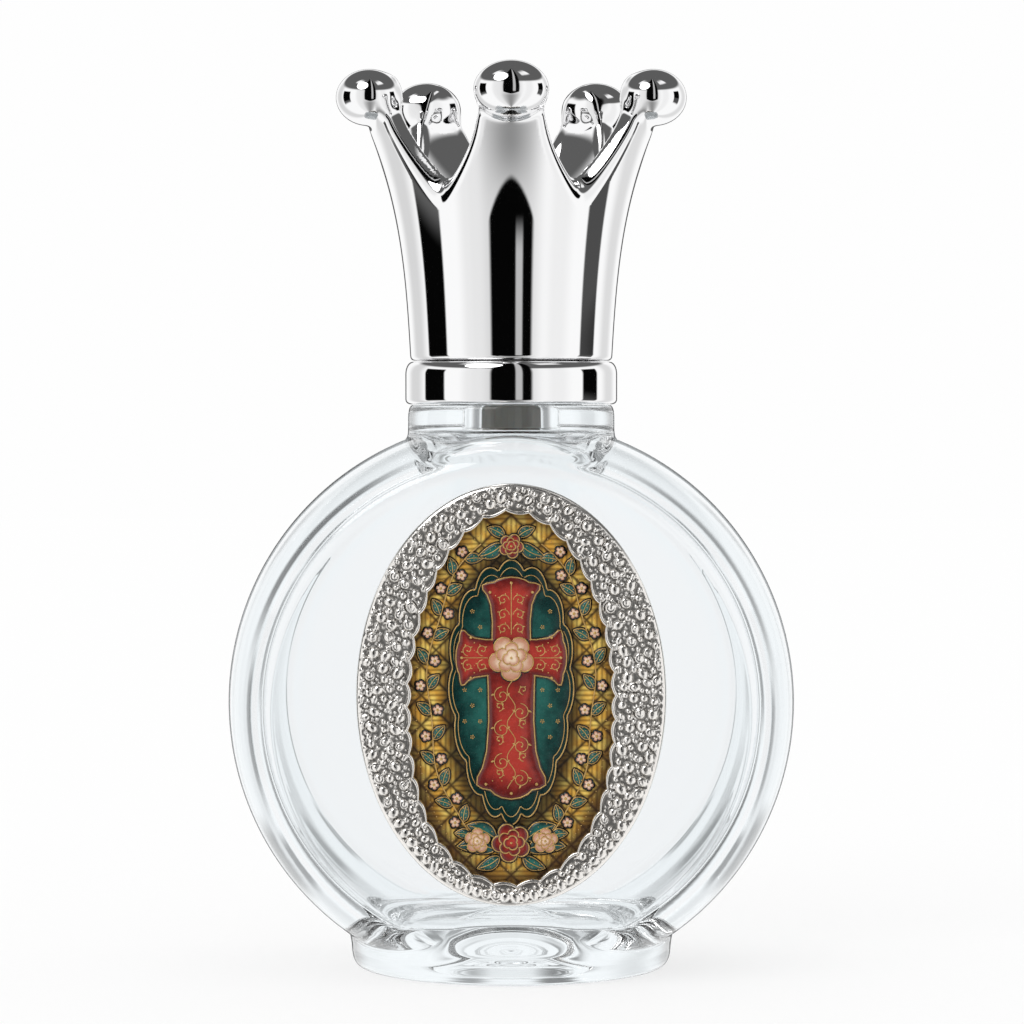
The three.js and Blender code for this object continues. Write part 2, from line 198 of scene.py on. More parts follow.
def lightStudio():
    world = bpy.data.worlds.new("studio")
    bpy.context.scene.world = world
    world.use_nodes = True
    tree = Tree(world.node_tree)
    times, step = tree.times, tree.smoothStep
    direction = tree.node("SeparateXYZ", {0: tree.node("TexCoord").outputs["Generated"]}).outputs
    azimuth = tree.math("ARCTAN2", direction["X"], times(direction["Y"], -1))
    height = direction["Z"]
    black, white = grey(studio["flagBlack"]), grey(studio["gleam"])

    def away(value, centre):
        return tree.math("ABSOLUTE", tree.minus(value, math.radians(centre)))

    def band(value, centre, halfWidth, softness):
        edge, soft = math.radians(halfWidth), math.radians(softness)
        return step(away(value, centre), edge + soft, edge - soft)

    def upTo(low, lowFull, high, highFull):
        return times(step(height, low, lowFull), step(height, high, highFull))

    # the table in front, greyer towards its middle, and soft greys round about
    *spot, depth = studio["tableShade"]
    shaded = times(band(azimuth, *spot), step(height, *studio["tableReach"]), depth)
    colour = tree.blend(shaded, white, black)
    for *spot, depth in studio["greys"]:
        colour = tree.blend(times(band(azimuth, *spot), depth), colour, black)

    # the dark ceiling with its two windows
    *start, dark = studio["ceiling"]
    left, right = (band(azimuth, *spot) for spot in studio["windows"])
    window = times(tree.math("MAXIMUM", left, right), upTo(*studio["windowReach"]))
    colour = tree.blend(times(step(height, *start), tree.minus(1.0, window)), colour, grey(dark))

    # the flags
    upright = upTo(*studio["sideReach"])
    for *spot, plain, greyed, tone in studio["sideFlags"]:
        shade = tree.blend(step(height, plain, greyed), black, grey(tone))
        colour = tree.blend(times(band(azimuth, *spot), upright), colour, shade)
    centre, halfWidth, softness = studio["frontFlag"]
    middle, rise, curve, edge = studio["frontArch"]
    across = tree.math("DIVIDE", away(azimuth, centre), math.radians(halfWidth))
    arch = tree.plus(times(tree.math("POWER", across, curve), rise), middle)
    front = times(band(azimuth, centre, halfWidth, softness), step(tree.minus(height, arch), 0.0, edge))
    *start, shine = studio["frontStripEnd"]
    strip = times(band(azimuth, *studio["frontStrip"]), step(height, *start), shine)
    colour = tree.blend(front, colour, tree.blend(strip, black, white))

    # what metal sees behind
    *spot, dark = studio["edgeCloths"]
    behind = tree.math("ARCCOSINE", direction["Y"])
    seenByMetal = tree.blend(band(behind, *spot), colour, grey(dark))

    # what glass sees: plain white straight behind, rings and patches of grey round it
    along, sunk = studio["glassAxis"]
    behind = tree.math("ARCCOSINE", tree.plus(times(direction["Y"], along), times(direction["Z"], sunk)))
    raised = tree.minus(times(direction["Z"], along), times(direction["Y"], sunk))
    turn = tree.math("ARCTAN2", raised, direction["X"])
    seenByGlass = studio["glassWhite"]
    for inner, outer, softness, tone, toward, spread in studio["glassRings"]:
        ring = band(behind, (inner + outer) / 2, (outer - inner) / 2, softness)
        if spread < 180:
            wrapped = tree.math("WRAP", tree.minus(turn, math.radians(toward)), math.pi, -math.pi)
            core = math.radians(spread * studio["spreadCore"])
            ring = times(ring, step(tree.math("ABSOLUTE", wrapped), math.radians(spread), core))
        seenByGlass = tree.blend(ring, seenByGlass, (*(tone * part for part in studio["glassTint"]), 1))
    path = tree.node("LightPath").outputs
    colour = tree.blend(path["Is Glossy Ray"], grey(studio["daylight"]), seenByMetal)
    colour = tree.blend(path["Is Transmission Ray"], colour, seenByGlass)
    colour = tree.blend(path["Is Camera Ray"], colour, grey(studio["backdrop"]))
    background = tree.node("Background", {"Color": colour, "Strength": 1.0}).outputs[0]
    tree.node("OutputWorld", {"Surface": background})

    lamp = bpy.data.lights.new("softSun", "SUN")
    lamp.energy = studio["sunStrength"]
    lamp.angle = math.radians(studio["sunAngle"])
    sun = bpy.data.objects.new("softSun", lamp)
    sun.rotation_euler = Vector(studio["sunWay"]).to_track_quat("-Z", "Y").to_euler()
    bpy.context.collection.objects.link(sun)


def layFloor():
    half = studio["floorHalf"] * mm
    mesh = bpy.data.meshes.new("floor")
    corners = [(-half, -half, 0), (half, -half, 0), (half, half, 0), (-half, half, 0)]
    mesh.from_pydata(corners, [], [(0, 1, 2, 3)])
    floor = bpy.data.objects.new("floor", mesh)
    floor.location = (0, 0, -studio["floorDrop"] * mm)
    bpy.context.collection.objects.link(floor)
    material, tree = newMaterial("floorWhite")
    matt = tree.node("BsdfDiffuse", {"Color": grey(studio["floorWhite"])}).outputs[0]
    glow = tree.node("Emission", {"Color": grey(studio["backdrop"]), "Strength": 1.0}).outputs[0]
    clear = tree.node("BsdfTransparent").outputs[0]
    path = tree.node("LightPath").outputs
    share = tree.times(path["Is Camera Ray"], studio["floorGlow"])
    seen = tree.node("MixShader", {0: share, 1: matt, 2: glow}).outputs[0]
    passedBy = tree.math("MAXIMUM", path["Is Glossy Ray"], path["Is Transmission Ray"])
    tree.finishWith(tree.node("MixShader", {0: passedBy, 1: seen, 2: clear}).outputs[0])
    mesh.materials.append(material)


lightStudio()
layFloor()
print("studio lit")


# Finishes
def clearGlass():
    material, tree = newMaterial("clearGlass")
    body = tree.node("BsdfPrincipled", {
        "Base Color": (0.985, 0.992, 0.995, 1),
        "Roughness": 0.0,
        "IOR": 1.5,
        "Transmission Weight": 1.0,
    }).outputs[0]
    clear = tree.node("BsdfTransparent", {"Color": (0.985, 0.987, 0.988, 1)}).outputs[0]
    shadow = tree.node("LightPath").outputs["Is Shadow Ray"]
    tree.finishWith(tree.node("MixShader", {0: shadow, 1: body, 2: clear}).outputs[0])
    return material


def brightChrome():
    # polished, with a faint haze as left by a cloth
    material, tree = newMaterial("brightChrome")
    tree.finishAs({
        "Base Color": (0.95, 0.95, 0.955, 1),
        "Metallic": 1.0,
        "Roughness": tree.between(tree.noise(160.0, 3.0), 0.02, 0.05),
    })
    return material


def antiqueSilver():
    # bright where the beads stand up, oxidised in the hollows between them
    material, tree = newMaterial("antiqueSilver")
    grain = tree.noise(2600.0, 3.0)
    worn = tree.smoothStep(tree.plus(tree.relief(), tree.times(grain, 0.12)), 0.0, 0.55)
    tree.finishAs({
        "Base Color": tree.blend(worn, (0.30, 0.29, 0.275, 1), (0.95, 0.92, 0.88, 1)),
        "Metallic": 1.0,
        "Roughness": tree.between(worn, 0.5, 0.2),
        "Normal": tree.bump(grain, 0.15, 0.04),
    })
    return material


def mouldedPlastic(name, colour, roughness, softness=0.0):
    material, tree = newMaterial(name)
    grain = tree.noise(1800.0, 2.0)
    tree.finishAs({
        "Base Color": tree.blend(grain, (*colour, 1), (*(0.94 * part for part in colour), 1)),
        "Roughness": roughness,
        "Subsurface Weight": softness,
        "Subsurface Scale": 1 * mm,
        "Normal": tree.bump(grain, 0.1, 0.03),
    })
    return material


glassFinish = clearGlass()
chromeFinish = brightChrome()
silverFinish = antiqueSilver()


# Meshes from points in millimetres
def newPiece(name, points, faces, material, body, slot, *stands):
    mesh = bpy.data.meshes.new(name)
    mesh.from_pydata((np.asarray(points) * mm).tolist(), [], faces)
    mesh.materials.append(material)
    mesh.shade_smooth()
    piece = bpy.data.objects.new(name, mesh)
    bpy.context.collection.objects.link(piece)
    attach(piece, body)
    if stands:
        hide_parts(*stands)
    return piece


def gridFaces(rows, columns, firstPole=None, lastPole=None):
    # quads between rows of points that run round the piece, with a fan at each pole
    sides = [(j, (j + 1) % columns) for j in range(columns)]
    last = (rows - 1) * columns
    faces = []
    for i in range(0, last, columns):
        faces += [(i + j, i + k, i + columns + k, i + columns + j) for j, k in sides]
    if firstPole is not None:
        faces += [(k, j, firstPole) for j, k in sides]
    if lastPole is not None:
        faces += [(last + j, last + k, lastPole) for j, k in sides]
    return faces


def giveRelief(piece, tones):
    shade = piece.data.attributes.new("relief", "FLOAT", "POINT")
    shade.data.foreach_set("value", np.concatenate(tones))


def arc(centreR, centreZ, radius, start, end, steps=6):
    angles = np.radians(np.linspace(start, end, steps + 1))
    return [(centreR + radius * math.cos(a), centreZ + radius * math.sin(a)) for a in angles]


def softMax(a, b, width):
    # the larger of two, with the corner between them rounded over about that width
    near = np.maximum(width - np.abs(a - b), 0) / width
    return np.maximum(a, b) + near * near * width / 4


def softMin(a, b, width):
    return -softMax(-a, -b, width)


# Glass bottle: one skin from the middle of the underside, over the outside, down the bore and round the
# inside. Reaches are measured from the middle of the disc
glass = {
    "radius": 30.2, "halfDepth": 16, "faceRadius": 24.6, "rimLand": 3, "centre": 28.66,
    "rimWall": 3.8, "faceWall": 3.3, "cavityFace": 25.2, "cavityFloor": 5.4, "floorRound": 1.2,
    "easeFrom": 20, "faceEasing": 0.12,
    "footRadius": 17.2, "footHeight": 3.9, "heel": 2.4, "heelStart": 14.9, "footFillet": 2.0,
    "ledgeSteep": 95, "ledgeRound": 0.8,
    "pushUp": 0.8, "pushUpRadius": 13.2, "pushUpPower": 4, "pontil": 0.4, "pontilRadius": 1.3,
    "ripple": 0.2, "ripplePitch": 1.9, "rippleFade": 3.4,
    "shoulderRadius": 11.1, "shoulderTop": 60.34, "shoulderEdge": 1.6, "shoulderFillet": 1.1,
    # the inside's way up into the shoulder: its half sizes, and the heights over the disc's middle between
    # which it comes up behind the plaque and then bends in to the neck
    "passageWide": 9.3, "passageDeep": 12.5, "passageNeck": 7.65, "passageTop": 57.1,
    "passageRise": (2, 15), "passageBend": (25.6, 28.0), "passageSunk": 2.4, "passageFoot": -3,
    "passageBlend": 1.6, "boreBlend": 1.0,
    "beadRadius": 7.35, "beadTop": 61.9, "neckRadius": 6.6, "neckTop": 71.2, "boreRadius": 3.5, "lip": 0.5,
    "threadStart": 63.35, "threadPitch": 3, "threadTurns": 2, "threadDepth": 0.75, "threadHalf": 0.78,
    "columns": 280, "outerRows": 200, "innerRows": 190, "farthest": 60, "halvings": 42,
}


def aimed(elevation, azimuth):
    sideways = np.cos(elevation)
    return np.stack([sideways * np.sin(azimuth), -sideways * np.cos(azimuth), np.sin(elevation)])


def halved(isInside, directions):
    # how far a skin reaches in each direction, found by halving
    low = np.zeros(directions.shape[1:])
    high = np.full_like(low, glass["farthest"])
    for _ in range(glass["halvings"]):
        middle = (low + high) / 2
        inside = isInside(*(directions * middle))
        low = np.where(inside, middle, low)
        high = np.where(inside, high, middle)
    return (low + high) / 2


def discReach(elevation, azimuth, radius, halfDepth, faceRadius, easing=0.0):
    land = glass["rimLand"]

    def isInside(x, y, z):
        q = np.hypot(x, z)
        turn = np.clip((q - faceRadius) / (radius - faceRadius), 0, 1)
        eased = easing * np.clip((q - glass["easeFrom"]) / (faceRadius - glass["easeFrom"]), 0, 1.2) ** 2
        return (q < radius) & (np.abs(y) < land + (halfDepth - land) * np.sqrt(1 - turn * turn) - eased)

    return halved(isInside, aimed(elevation, azimuth))


def levelReach(elevation, height, least):
    # reach of a level plane, for the directions that rise or fall to it by more than the least
    lift = height - glass["centre"]
    climb = np.sin(elevation) * np.sign(lift)
    return np.where(climb > least, abs(lift) / np.maximum(climb, least), 999)


def outsideReach(elevation, azimuth):
    reach = discReach(elevation, azimuth, glass["radius"], glass["halfDepth"], glass["faceRadius"])
    sideways = np.maximum(np.cos(elevation), 1e-4)
    floorReach = levelReach(elevation, 0, 0.02)
    footLift = glass["centre"] - glass["footHeight"]
    ledge = math.hypot(footLift, glass["footRadius"])
    below = -math.atan2(footLift, glass["footRadius"]) - elevation
    foot = softMin(glass["footRadius"] / sideways, floorReach, glass["heel"])
    foot = softMin(foot, ledge + below * glass["ledgeSteep"], glass["ledgeRound"])
    reach = softMax(reach, foot, glass["footFillet"])
    topReach = levelReach(elevation, glass["shoulderTop"], 0.05)
    shoulder = softMin(glass["shoulderRadius"] / sideways, topReach, glass["shoulderEdge"])
    reach = softMax(reach, np.where(np.sin(elevation) > 0.05, shoulder, 0), glass["shoulderFillet"])
    return np.minimum(reach, floorReach)


def passageReach(elevation, azimuth):
    # keeps a like distance from the front and the back, so that the wall there doesn't work as a lens
    start, end = glass["passageBend"]
    low, full = glass["passageRise"]
    neck = glass["passageNeck"]

    def isInside(x, y, z):
        bow = np.sqrt(1 - np.clip((np.hypot(x, z) - start) / (end - start), 0, 1) ** 2)
        climbed = np.clip((z - start) / (end - start), 0, 1)
        width = neck + (glass["passageWide"] - neck) * np.sqrt(1 - climbed ** 2)
        depth = neck + (glass["passageDeep"] - neck) * bow
        # low down, behind the plaque, it sinks under the plain inside
        sunk = 1 - np.clip((z - low) / (full - low), 0, 1)
        depth = depth - glass["passageSunk"] * sunk * sunk * (3 - 2 * sunk)
        power = 5 - 3 * climbed
        inside = np.abs(x / width) ** power + np.abs(y / depth) ** power < 1
        return inside & (z > glass["passageFoot"]) & (z + glass["centre"] < glass["passageTop"])

    return halved(isInside, aimed(elevation, azimuth))


def insideReach(elevation, azimuth):
    radius, halfDepth = glass["radius"] - glass["rimWall"], glass["halfDepth"] - glass["faceWall"]
    reach = discReach(elevation, azimuth, radius, halfDepth, glass["cavityFace"], glass["faceEasing"])
    reach = softMin(reach, levelReach(elevation, glass["cavityFloor"], 0.02), glass["floorRound"])
    reach = softMax(reach, passageReach(elevation, azimuth), glass["passageBlend"])
    bore = np.where(elevation > 0.4, glass["boreRadius"] / np.maximum(np.cos(elevation), 1e-4), 0)
    return softMax(reach, bore, glass["boreBlend"])


def evenly(amount, places, count, closed=False):
    # places spread so that each step has a like share of the amount
    run = np.concatenate([[0], np.cumsum(amount)])
    wanted = np.linspace(0, run[-1], count, endpoint=not closed)
    return np.interp(wanted, run, places)


def bendAndLength(x, y):
    dx, dy = np.diff(x), np.diff(y)
    length = np.hypot(dx, dy)
    heading = np.unwrap(np.arctan2(dy, dx))
    bend = np.minimum(np.abs(np.diff(heading, prepend=heading[0])), 0.2)
    return length / length.sum(), bend / max(bend.sum(), 1e-9)


def rowElevations(reachAt, start, end, count):
    # rows lie closer together where four upright cuts of the skin turn fast
    fine = np.linspace(start, end, 1400)
    amount = np.zeros(len(fine) - 1)
    for azimuth in (0.0, 0.6, 1.1, 1.5708):
        reach = reachAt(fine, np.full_like(fine, azimuth))
        length, bend = bendAndLength(reach * np.cos(fine), reach * np.sin(fine))
        amount += length + 1.1 * np.convolve(bend, np.ones(9) / 9, mode="same")
    return evenly(amount, fine, count)


def rowAzimuths(reachAt, elevations):
    # each row's own azimuths, closer together where the skin turns fast
    fine = np.linspace(0, 2 * np.pi, 1441)
    table = []
    for elevation in elevations:
        reach = reachAt(np.full_like(fine, elevation), fine) * math.cos(elevation)
        length, bend = bendAndLength(reach * np.sin(fine), -reach * np.cos(fine))
        spread = np.concatenate([bend[-4:], bend, bend[:4]])
        amount = length + 0.9 * np.convolve(spread, np.ones(9) / 9, mode="valid")
        table.append(evenly(amount, fine, glass["columns"], closed=True))
    eased = np.pad(table, ((4, 4), (0, 0)), mode="edge")
    return sum(eased[i:i + len(table)] for i in range(9)) / 9


def skinRows(reachAt, start, end, count, outward):
    # points and normals of a skin; the normals come from its slopes, so that no facets show in the glass
    elevations = rowElevations(reachAt, start, end, count)
    step = 2e-4
    rows = []
    for elevation, azimuth in zip(elevations, rowAzimuths(reachAt, elevations)):

        def place(lift, turn):
            raised = np.full_like(azimuth, elevation + lift)
            return (aimed(raised, azimuth + turn) * reachAt(raised, azimuth + turn)).T

        normal = np.cross(place(0, step) - place(0, -step), place(step, 0) - place(-step, 0)) * outward
        normal /= np.maximum(np.linalg.norm(normal, axis=1), 1e-12)[:, None]
        rows.append((place(0, 0) + (0, 0, glass["centre"]), normal))
    return rows


def underside():
    # (radius, height) rows of the pushed-up underside, with the small mark at its middle
    radii = np.concatenate([np.linspace(0.15, 5, 26), np.linspace(5.4, 14.6, 24)])
    push = glass["pushUp"] * np.maximum(1 - (radii / glass["pushUpRadius"]) ** glass["pushUpPower"], 0)
    cone = np.hypot(radii, 0.2) / glass["pontilRadius"]
    mark = glass["pontil"] * softMax(1 - cone, np.zeros_like(cone), 0.15)
    rings = np.cos(2 * np.pi * radii / glass["ripplePitch"]) * np.exp(-(radii / glass["rippleFade"]) ** 2)
    return list(zip(radii, np.maximum(push - mark + glass["ripple"] * rings, 0)))


def neckRows(azimuth):
    # (radius, height) rows from the shoulder's flat over the thread and the lip to the bore
    bead, top, lip = glass["beadRadius"], glass["beadTop"], glass["lip"]
    rows = [(bead + 0.25, glass["shoulderTop"] + 0.02), (bead, glass["shoulderTop"] + 0.25),
            (bead, top - 0.2), (bead - 0.2, top), (glass["neckRadius"], top + 0.35)]
    turns = np.mod(azimuth, 2 * np.pi) / (2 * np.pi)
    for z in np.arange(top + 0.45, glass["neckTop"] - 0.6, 0.16):
        climbed = (z - glass["threadStart"]) / glass["threadPitch"] - turns
        lap = np.round(climbed)
        along = lap + turns
        off = np.abs(climbed - lap) * glass["threadPitch"]
        fade = np.clip(np.minimum(along, glass["threadTurns"] - along) * 8 + 1, 0, 1)
        ridge = np.clip((glass["threadHalf"] - off) / 0.4, 0, 1)
        rows.append((glass["neckRadius"] + glass["threadDepth"] * ridge * ridge * (3 - 2 * ridge) * fade, z))
    rows += arc(glass["neckRadius"] - lip, glass["neckTop"] - lip, lip, 0, 90, 4)
    return rows + arc(glass["boreRadius"] + lip, glass["neckTop"] - lip, lip, 90, 180, 4)


def blowGlass():
    columns = glass["columns"]
    azimuth = np.linspace(0, 2 * np.pi, columns, endpoint=False)
    shoulderEnd = math.atan2(glass["shoulderTop"] - glass["centre"], glass["beadRadius"] + 0.6)
    boreEnd = math.atan2(glass["neckTop"] - 1.2 - glass["centre"], glass["boreRadius"])

    def plain(radius, height):
        # a row whose normals are left for Blender to work out, which is what zeros mean
        x, y = radius * np.sin(azimuth), -radius * np.cos(azimuth)
        return np.stack([x, y, np.full(columns, height)], axis=1), np.zeros((columns, 3))

    rows = [plain(*row) for row in underside()]
    heelStart = math.atan2(glass["centre"], glass["heelStart"])
    rows += skinRows(outsideReach, -heelStart, shoulderEnd, glass["outerRows"], 1)
    rows += [plain(*row) for row in neckRows(azimuth)]
    rows += skinRows(insideReach, boreEnd, math.radians(-88.5), glass["innerRows"], -1)
    poles = [(0, 0, underside()[0][1]), (0, 0, glass["cavityFloor"])]
    points = np.concatenate([row[0] for row in rows] + [poles])
    normals = np.concatenate([row[1] for row in rows] + [np.zeros((2, 3))])
    count = len(rows) * columns
    faces = gridFaces(len(rows), columns, firstPole=count, lastPole=count + 1)
    piece = newPiece("glassBody", points, faces, glassFinish, "bottle", "clear_glass", "glass_bottle")
    piece.data.normals_split_custom_set_from_vertices(normals.tolist())


blowGlass()
print("glass blown")


# Collar ring: turned, with a rounded upper edge, and hollow round the neck
collar = {
    "radius": 11.4, "bottom": 60.4, "top": 64.97, "lowEdge": 0.55, "highEdge": 1.35, "inset": 0.75,
    "floor": 1.2, "inside": 9.5, "insideEdge": 0.3, "hole": 7.65, "sides": 160, "sharpOver": 35,
}


def turnCollar():
    radius, bottom, top = collar["radius"], collar["bottom"], collar["top"]
    low, high, inset, inner = collar["lowEdge"], collar["highEdge"], collar["inset"], collar["insideEdge"]
    profile = [
        (collar["hole"], bottom),
        *arc(radius - low, bottom + low, low, -90, 0, 8),
        *((radius - inset + inset * r, top - high + high * z) for r, z in arc(0, 0, 1, 0, 90, 12)),
        *arc(collar["inside"] + inner, top - inner, inner, 90, 180, 4),
        (collar["inside"], bottom + collar["floor"]),
        (collar["hole"], bottom + collar["floor"]),
    ]
    angles = np.linspace(0, 2 * np.pi, collar["sides"], endpoint=False)
    points = [(r * math.cos(a), r * math.sin(a), z) for r, z in profile for a in angles]
    faces = [tuple(v % len(points) for v in face) for face in gridFaces(len(profile) + 1, collar["sides"])]
    piece = newPiece("collarRing", points, faces, chromeFinish, "bottle", "chrome", "collar_ring")
    piece.data.set_sharp_from_angle(angle=math.radians(collar["sharpOver"]))


turnCollar()
print("collar turned")


# Crown: a shape told by its distance to the skin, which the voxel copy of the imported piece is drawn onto
crown = {
    "bottom": 65.08, "baseRadius": 10.85, "taper": 0.0575, "flare": 2.07e-4, "widest": 15.7, "wall": 2.7,
    "floor": 77.5, "floorRound": 1.2, "socketRadius": 9.3, "socketCeiling": 75, "edge": 1.15,
    "spikes": 5, "gapFoot": 81.5, "gapDepth": 11, "gapHalfWidth": 6.2, "gapCurve": 1.7, "gapRound": 0.9,
    "gapRise": 2.4, "leafTop": 95.3, "leafCurve": 0.34, "leafHalf": 3.1,
    "ballRing": 15.9, "ballHeight": 92.95, "ballHalves": (3.9, 3.45, 3.0),  # across, outward, up
    "widestRound": 0.8, "socketRound": 0.3, "footRound": 0.5, "leafRound": 0.8, "weld": 0.9,
    "voxel": 0.26, "easings": 6, "pulls": 3, "farthestPull": 0.6,
}


def crownRadiusAt(height):
    risen = np.maximum(height, 0)
    radius = crown["baseRadius"] + crown["taper"] * risen + crown["flare"] * risen ** 3
    return softMin(radius, np.full_like(radius, crown["widest"]), crown["widestRound"])


def crownDistance(points):
    x, y, z = points.T
    r = np.hypot(x, y)
    height = z - crown["bottom"]
    radius = crownRadiusAt(height)
    slope = (crownRadiusAt(height + 0.1) - radius) / 0.1
    lean = np.sqrt(1 + slope * slope)
    bowl = softMax((r - radius + crown["wall"]) / lean, crown["floor"] - z, crown["floorRound"])
    socket = np.maximum(r - crown["socketRadius"], z - crown["socketCeiling"])
    shell = softMax((r - radius) / lean, -bowl, crown["edge"])
    shell = softMax(shell, -socket, crown["socketRound"])
    shell = softMax(shell, -height, crown["footRound"])
    # the gaps between the spikes
    sector = 2 * np.pi / crown["spikes"]
    fromSpike = np.mod(np.arctan2(x, -y) + sector / 2, sector) - sector / 2
    fromGap = r * np.sin(sector / 2 - np.abs(fromSpike))
    inward = np.clip((radius - r) / crown["wall"], -0.5, 1.5)
    rise = z - crown["gapFoot"] - crown["gapRise"] * inward
    share = np.clip(rise / crown["gapDepth"], 0, 1)
    steep = crown["gapHalfWidth"] * crown["gapCurve"] / crown["gapDepth"]
    half = crown["gapHalfWidth"] * (1 - (1 - share) ** crown["gapCurve"]) + steep * np.minimum(rise, 0)
    slant = steep * (1 - share) ** (crown["gapCurve"] - 1)
    gap = (np.sqrt(fromGap ** 2 + crown["gapRound"] ** 2) - half) / np.sqrt(1 + slant * slant)
    shell = softMax(shell, -gap, crown["edge"])
    # the rounded leaf at the top of each spike
    across = r * np.sin(fromSpike)
    within = softMin(np.abs(across), np.full_like(across, crown["leafHalf"]), crown["leafRound"])
    leaf = z - crown["leafTop"] + crown["leafCurve"] * within ** 2
    shell = softMax(shell, leaf / np.sqrt(1 + (crown["leafCurve"] * within) ** 2), crown["edge"])
    # the balls
    halves = np.array(crown["ballHalves"])
    offset = np.stack([across, r * np.cos(fromSpike) - crown["ballRing"], z - crown["ballHeight"]], axis=1)
    scaled = np.linalg.norm(offset / halves, axis=1)
    ball = scaled * (scaled - 1) / np.maximum(np.linalg.norm(offset / halves ** 2, axis=1), 1e-6)
    return softMin(shell, ball, crown["weld"])


def gradientOf(distance, points):
    step = 0.01
    slopes = [(distance(points + move) - distance(points - move)) / (2 * step) for move in np.eye(3) * step]
    return np.stack(slopes, axis=1)


def voxelCopy(node, voxel):
    # points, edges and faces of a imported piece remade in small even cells
    work = bpy.data.objects.new(node + "Voxels", cadNodes[node].data.copy())
    bpy.context.collection.objects.link(work)
    remesh = work.modifiers.new("voxels", "REMESH")
    remesh.mode = "VOXEL"
    remesh.voxel_size = voxel * mm
    remade = work.evaluated_get(bpy.context.evaluated_depsgraph_get())
    mesh = remade.to_mesh()
    points = np.empty(len(mesh.vertices) * 3)
    mesh.vertices.foreach_get("co", points)
    edges = np.empty(len(mesh.edges) * 2, dtype=int)
    mesh.edges.foreach_get("vertices", edges)
    faces = [tuple(face.vertices) for face in mesh.polygons]
    remade.to_mesh_clear()
    bpy.data.objects.remove(work)
    return points.reshape(-1, 3) / mm, edges.reshape(-1, 2), faces


def castCrown():
    points, edges, faces = voxelCopy("crown_shell", crown["voxel"])
    neighbours = np.bincount(edges.ravel(), minlength=len(points))[:, None]
    for _ in range(crown["easings"]):
        total = np.zeros_like(points)
        np.add.at(total, edges[:, 0], points[edges[:, 1]])
        np.add.at(total, edges[:, 1], points[edges[:, 0]])
        points += 0.5 * (total / neighbours - points)
        for _ in range(crown["pulls"]):
            slope = gradientOf(crownDistance, points)
            steep = np.maximum((slope ** 2).sum(axis=1), 0.05)
            move = -(crownDistance(points) / steep)[:, None] * slope
            points += np.clip(move, -crown["farthestPull"], crown["farthestPull"])
    normals = gradientOf(crownDistance, points)
    normals /= np.maximum(np.linalg.norm(normals, axis=1), 1e-9)[:, None]
    piece = newPiece("crownShell", points, faces, chromeFinish, "cap", "chrome", "crown_shell")
    piece.data.normals_split_custom_set_from_vertices(normals.tolist())


castCrown()
print("crown cast")


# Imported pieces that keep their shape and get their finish
def dress(node, material):
    piece = cadNodes[node]
    piece.data.materials.clear()
    piece.data.materials.append(material)


# the plug's plastic is coloured dark olive-grey to paint the shade it stands in down in the neck
dress("orifice_reducer", mouldedPlastic("naturalPlasticInPaintedShade", (0.3, 0.29, 0.25), 0.42, 0.3))
dress("sealing_disc", mouldedPlastic("linerFoam", (0.82, 0.81, 0.78), 0.7))
dress("inner_cap", mouldedPlastic("whitePlastic", (0.88, 0.88, 0.87), 0.35))
dress("plaque_pad", mouldedPlastic("adhesiveFoam", (0.78, 0.78, 0.75), 0.8))
dress("plaque_back_plate", mouldedPlastic("tinnedPlate", (0.55, 0.55, 0.56), 0.4))


# Plaque frame: an oval silver casting, its band covered in beads and its opening scalloped
plaque = {
    "centre": 30.46, "halfWide": 16, "halfTall": 21.8,
    "openWide": 10.62, "openTop": 19.0, "openBottom": 19.55, "topPower": 1.11, "bottomPower": 0.76,
    "wall": 0.8, "back": 16.3, "underside": 18.5, "edge": 18.3, "edgeRound": 0.55, "sharpOver": 75,
    "hollow": 18.6, "sunk": 0.08, "dome": 0.16,
    "lip": 19.02, "lipBase": 18.54, "lipMiddle": 0.24, "lipHalf": 0.27,
    "scallops": 40, "scallopDepth": 0.4, "scallopBead": (0.62, 0.3),  # inset, radius
    "rim": 0.42,       # smooth border outside the beads
    # largest and smallest radius, and how often one is tried
    "beadSizes": (
        (0.64, 0.52, 700),
        (0.5, 0.4, 2500),
        (0.38, 0.28, 5000),
        (0.26, 0.18, 8000),
        (0.17, 0.11, 9000),
    ),
    "beadRoom": (0.47, 0.3),           # kept free of them at the lip and at the outer edge
    "beadHeight": 0.52, "beadPacking": 0.94, "seed": 11,
    "ringedOver": 0.34, "ringedShare": 0.5, "ringRoom": 0.17, "ringPlace": (0.13, 0.09),
    "curledOver": 0.36, "curledShare": 0.4,
    "rowBead": 0.62, "rowBearings": (197, 344, 3.72),  # the even row along the foot, in degrees
    "columns": 1120, "rows": 58,
}


def ovalPoint(angle, halfWide, halfTall):
    return np.stack([halfWide * np.cos(angle), halfTall * np.sin(angle)], axis=-1)


def reachOf(outline, direction):
    bearing = np.unwrap(np.arctan2(outline[:, 1], outline[:, 0]))
    return np.interp(direction, bearing, np.linalg.norm(outline, axis=1), period=2 * np.pi)


def openingOutline():
    # slightly egg-shaped, fuller below than above
    angle = np.linspace(0, 2 * np.pi, 4001)[:-1]
    rise = np.sin(angle)
    up = np.where(rise > 0, plaque["openTop"] * np.abs(rise) ** plaque["topPower"],
                  -plaque["openBottom"] * np.abs(rise) ** plaque["bottomPower"])
    return np.stack([plaque["openWide"] * np.cos(angle), up], axis=1)


